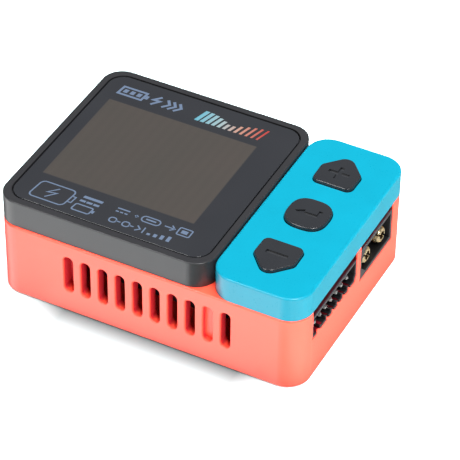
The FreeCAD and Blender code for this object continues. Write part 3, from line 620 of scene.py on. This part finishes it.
def cell_and_bolt():
    """Top left: a lying cell with three blocks, then a bolt and three chevrons."""
    foot, head = 16.7, 19.9
    left, right = -29.6, -24.0
    line = 0.55
    shapes = strokes([(left, foot + 0.3), (right, foot + 0.3), (right, head - 0.3), (left, head - 0.3)],
                     line, closed=True)
    shapes += bar(right + 0.3, right + 1.0, foot + 1.0, head - 1.0)
    shapes += repeat(3, 1.6, left + 0.7, left + 1.7, foot + 1.0, head - 1.0)
    shapes += strokes([(-20.6, head), (-21.8, foot + 1.7), (-20.3, foot + 1.7), (-21.5, foot)], 0.6)
    for i in range(3):
        shapes += chevron(-19.0 + 1.4 * i, 1.1, foot + 0.2, head - 0.2, 0.6)
    return lean(shapes, foot, 0.12)


def slanted_gauge():
    """Top right: twelve slanted bars, tall at both ends and thinner to the right."""
    foot, head = 16.4, 20.2
    count, pitch, shortest = 12, 1.32, 1.5
    shapes = []
    for i in range(count):
        x = -10.9 + pitch * i
        height = shortest + (head - foot - shortest) * abs(math.cos(math.pi * i / (count - 1)))
        width = 0.95 - 0.045 * i
        shapes += bar(x, x + width, foot, foot + height)
    return lean(shapes, foot, 0.28)


def large_and_small_cell():
    """Bottom left: an outlined cell with a bolt, a direct-current mark, a small cell."""
    foot, head = -21.2, -15.9
    line = 0.32
    shapes = strokes(rounded(-29.2, -21.2, foot, head, 1.0), line, closed=True)
    terminal = [(-21.0, foot + 1.7), (-20.3, foot + 1.7), (-20.3, head - 1.7), (-21.0, head - 1.7)]
    shapes += strokes(terminal, 0.3)
    bolt = [(-24.6, head - 0.9), (-26.3, foot + 2.5), (-24.3, foot + 2.9), (-25.9, foot + 0.9)]
    shapes += strokes(bolt, line)
    left = -19.2
    shapes += bar(left, left + 4.4, -16.9, -16.2)
    shapes += repeat(3, 1.55, left, left + 1.3, -18.2, -17.6)
    shapes += strokes(rounded(left, left + 4.0, foot + 0.1, -19.1, 0.4), line, closed=True)
    shapes += bar(-15.0, -14.5, foot + 0.7, -19.7)
    return lean(shapes, foot, 0.12)


def input_row():
    """Bottom middle, upper row: direct current, plus, a round port, an arrow and a chip."""
    foot, head = -18.2, -15.8
    half_way = (foot + head) / 2
    line = 0.3
    shapes = bar(-10.8, -8.0, foot + 1.6, foot + 1.95)
    shapes += repeat(3, 1.0, -10.8, -10.1, foot + 0.6, foot + 0.95)
    shapes += strokes([(-6.6, foot + 1.2), (-5.8, foot + 1.2)], line)
    shapes += strokes([(-6.2, foot + 0.8), (-6.2, foot + 1.6)], line)
    shapes += strokes(rounded(-5.0, -0.9, foot + 0.4, head - 0.3, 0.8), line, closed=True)
    shapes += bar(-4.1, -1.8, foot + 1.1, foot + 1.5)
    shapes += strokes([(0.2, half_way), (2.4, half_way)], line)
    shapes += chevron(1.6, 0.9, foot + 0.4, head - 0.4, line)
    shapes += strokes(rounded(3.3, 6.1, foot + 0.1, head - 0.1, 0.3), line, closed=True)
    shapes += bar(4.0, 5.4, foot + 0.7, head - 0.7)
    return shapes


def level_row():
    """Bottom middle, lower row: two contacts, an arrow head, a line and four growing bars."""
    foot, head = -21.4, -19.0
    half_way = (foot + head) / 2
    line = 0.3
    shapes = []
    for i in range(2):
        x = -10.7 + 3.0 * i
        shapes += strokes(rounded(x, x + 1.5, foot + 0.5, head - 0.5, 0.6), line, closed=True)
        shapes += strokes([(x + 1.5, half_way), (x + 2.5, half_way)], line)
    shapes += chevron(-4.6, 0.9, foot + 0.4, head - 0.4, line)
    shapes += strokes([(-2.9, foot + 0.3), (-2.9, head - 0.3)], line)
    for i in range(4):
        x = -1.9 + 1.45 * i
        shapes += bar(x, x + 0.75, foot + 0.3, foot + 0.9 + 0.34 * i)
    return shapes


def printed_marks():
    """Generic marks on the glass, in one pale ink and one that runs from cool to warm."""
    pale = printed_ink("pale_ink", [(0.0, PALE_INK), (1.0, PALE_INK)])
    blend = printed_ink("fading_ink", [(0.48, (0.054, 0.200, 0.260)), (0.62, (0.16, 0.22, 0.23)),
                                       (0.72, (0.26, 0.139, 0.105)), (0.84, (0.234, 0.028, 0.024))])
    print_on_glass("print_top_left", cell_and_bolt(), pale)
    print_on_glass("print_top_right", slanted_gauge(), blend)
    print_on_glass("print_bottom_left", large_and_small_cell(), pale)
    print_on_glass("print_bottom_row_one", input_row(), pale)
    print_on_glass("print_bottom_row_two", level_row(), pale)


# ---- Studio -------------------------------------------------------------
def ground_sheet(name, height, reach, material):
    """A large flat sheet under the charger."""
    mesh = bpy.data.meshes.new(name)
    mesh.from_pydata([(-reach, -reach, height), (reach, -reach, height),
                      (reach, reach, height), (-reach, reach, height)], [], [(0, 1, 2, 3)])
    mesh.materials.append(material)
    sheet = bpy.data.objects.new(name, mesh)
    bpy.context.scene.collection.objects.link(sheet)
    return sheet


def studio_paper():
    """White paper with a painted contact shadow where the charger's front meets it; its glow is painted
    light, brightest in front and to the right.
    """
    shade = Shade("studio_paper", 0.9, specular=0.0)
    across = shade.times(shade.rise(shade.axis(0), *SHADOW_LEFT), shade.fall(shade.axis(0), *SHADOW_RIGHT))
    along = shade.times(shade.rise(shade.axis(1), cad_low.y - SHADOW_REACH, cad_low.y),
                        shade.fall(shade.axis(1), *SHADOW_REAR))
    # Painted contact shadow: the paper's colour and glow darken here.
    contact = shade.times(across, along)
    shade.colour(shade.mix(contact, PAPER, tint(PAPER, CONTACT)))
    beside = shade.rise(shade.axis(0), cad_high.x, cad_high.x + 5 * MM)
    shade.link(shade.mix(beside, (1.0, 1.0, 1.0), WARM), shade.shader.inputs["Emission Color"])
    everywhere = shade.remap(contact, 0, 1, PAPER_GLOW, PAPER_GLOW * CONTACT)
    right = shade.times(beside, RIGHT_GLOW)
    front = shade.times(shade.remap(across, 0, 1, FRONT_GLOW * 0.15, FRONT_GLOW),
                        shade.rise(shade.axis(1), cad_low.y - 4 * MM, cad_low.y - 11 * MM))
    glow = shade.math("ADD", everywhere, shade.math("MAXIMUM", right, front))
    shade.link(glow, shade.shader.inputs["Emission Strength"])
    return shade.material


def table_sheen():
    """What glossy faces mirror from below: bright in front on the left, dim elsewhere."""
    shade = Shade("sheen_light", 1.0)
    glow = shade.tree.nodes.new("ShaderNodeEmission")
    across = shade.fall(shade.axis(0), SHEEN_EDGE - SHEEN_FADE, SHEEN_EDGE + SHEEN_FADE)
    along = shade.fall(shade.axis(1), SHEEN_FRONT, SHEEN_BACK)
    lit = shade.times(across, along)
    shade.link(shade.remap(lit, 0, 1, SHEEN_LOW, SHEEN_HIGH), glow.inputs["Strength"])
    shade.link(glow.outputs["Emission"], shade.output.inputs["Surface"])
    return shade.material


def soft_light(name, way, distance, size, strength, mirrored=True, diffused=True):
    """A square soft box aimed at the charger; strength is its light on a facing card."""
    place = Vector(way).normalized() * distance
    data = bpy.data.lights.new(name, "AREA")
    data.size = size
    data.energy = strength * (math.pi * distance) ** 2
    light = bpy.data.objects.new(name, data)
    light.location = middle + place
    light.rotation_euler = place.to_track_quat("Z", "Y").to_euler()
    light.visible_glossy = mirrored
    light.visible_diffuse = diffused
    bpy.context.scene.collection.objects.link(light)


def kick_strip(x0, x1, depth, strength):
    """A hidden strip on the paper that lifts the foot of the front wall."""
    data = bpy.data.lights.new("kick_strip", "AREA")
    data.shape = "RECTANGLE"
    data.size = x1 - x0
    data.size_y = depth
    data.energy = strength * math.pi * (x1 - x0) * depth
    light = bpy.data.objects.new("kick_strip", data)
    clear_of_wall, above_paper = 1 * MM, 0.3 * MM
    light.location = ((x0 + x1) / 2, cad_low.y - clear_of_wall - depth / 2, above_paper)
    light.rotation_euler = (math.pi, 0, 0)
    light.visible_camera = False
    light.visible_glossy = False
    bpy.context.scene.collection.objects.link(light)


def studio():
    """Glowing paper under an overhead box, two small boxes for the gloss, and a hidden strip."""
    floor = ground_sheet("studio_floor", 0.0, FLOOR_REACH, studio_paper())
    floor.visible_glossy = False
    sheen = ground_sheet("studio_sheen", -SHEEN_DROP, SHEEN_REACH, table_sheen())
    sheen.visible_camera = False
    sheen.visible_diffuse = False
    sheen.visible_shadow = False
    sheen.visible_transmission = False
    world = bpy.data.worlds.new("studio_sky")
    world.use_nodes = True
    background = world.node_tree.nodes["Background"]
    background.inputs["Color"].default_value = (1, 1, 1, 1)
    background.inputs["Strength"].default_value = SKY
    bpy.context.scene.world = world
    soft_light("top_box", (0.10, 0.0, 0.99), 0.95, 0.5, TOP_BOX, mirrored=False)
    soft_light("rim_box", (0.49, -0.41, 0.77), 0.8, 0.20, RIM_BOX)
    soft_light("edge_box", (-0.34, -0.65, 0.68), 0.8, 0.30, EDGE_BOX, diffused=False)
    kick_strip(-24 * MM, 24 * MM, 6 * MM, KICK)


def camera():
    """The viewing angle: from the front right, well above, with a long lens."""
    azimuth, elevation, roll = math.radians(26.78), math.radians(40.31), math.radians(-0.74)
    distance, lens, sensor = 0.537, 203.3, 36.0
    target = Vector((6.25, 0.0, 12.7)) * MM
    back = Vector((math.sin(azimuth) * math.cos(elevation),
                   -math.cos(azimuth) * math.cos(elevation), math.sin(elevation)))
    right = Vector((math.cos(azimuth), math.sin(azimuth), 0))
    up = back.cross(right)
    turn = Matrix.Rotation(-roll, 3, back)
    right, up = turn @ right, turn @ up
    data = bpy.data.cameras.new("camera")
    data.lens = lens
    data.sensor_width = sensor
    data.clip_start = 0.01
    seen = bpy.data.objects.new("camera", data)
    seen.matrix_world = Matrix((
        (right.x, up.x, back.x, target.x + back.x * distance),
        (right.y, up.y, back.y, target.y + back.y * distance),
        (right.z, up.z, back.z, target.z + back.z * distance),
        (0, 0, 0, 1)))
    bpy.context.scene.collection.objects.link(seen)
    bpy.context.scene.camera = seen


camera()
studio()
dress_nodes()
printed_marks()
bpy.context.scene.view_settings.view_transform = "Standard"
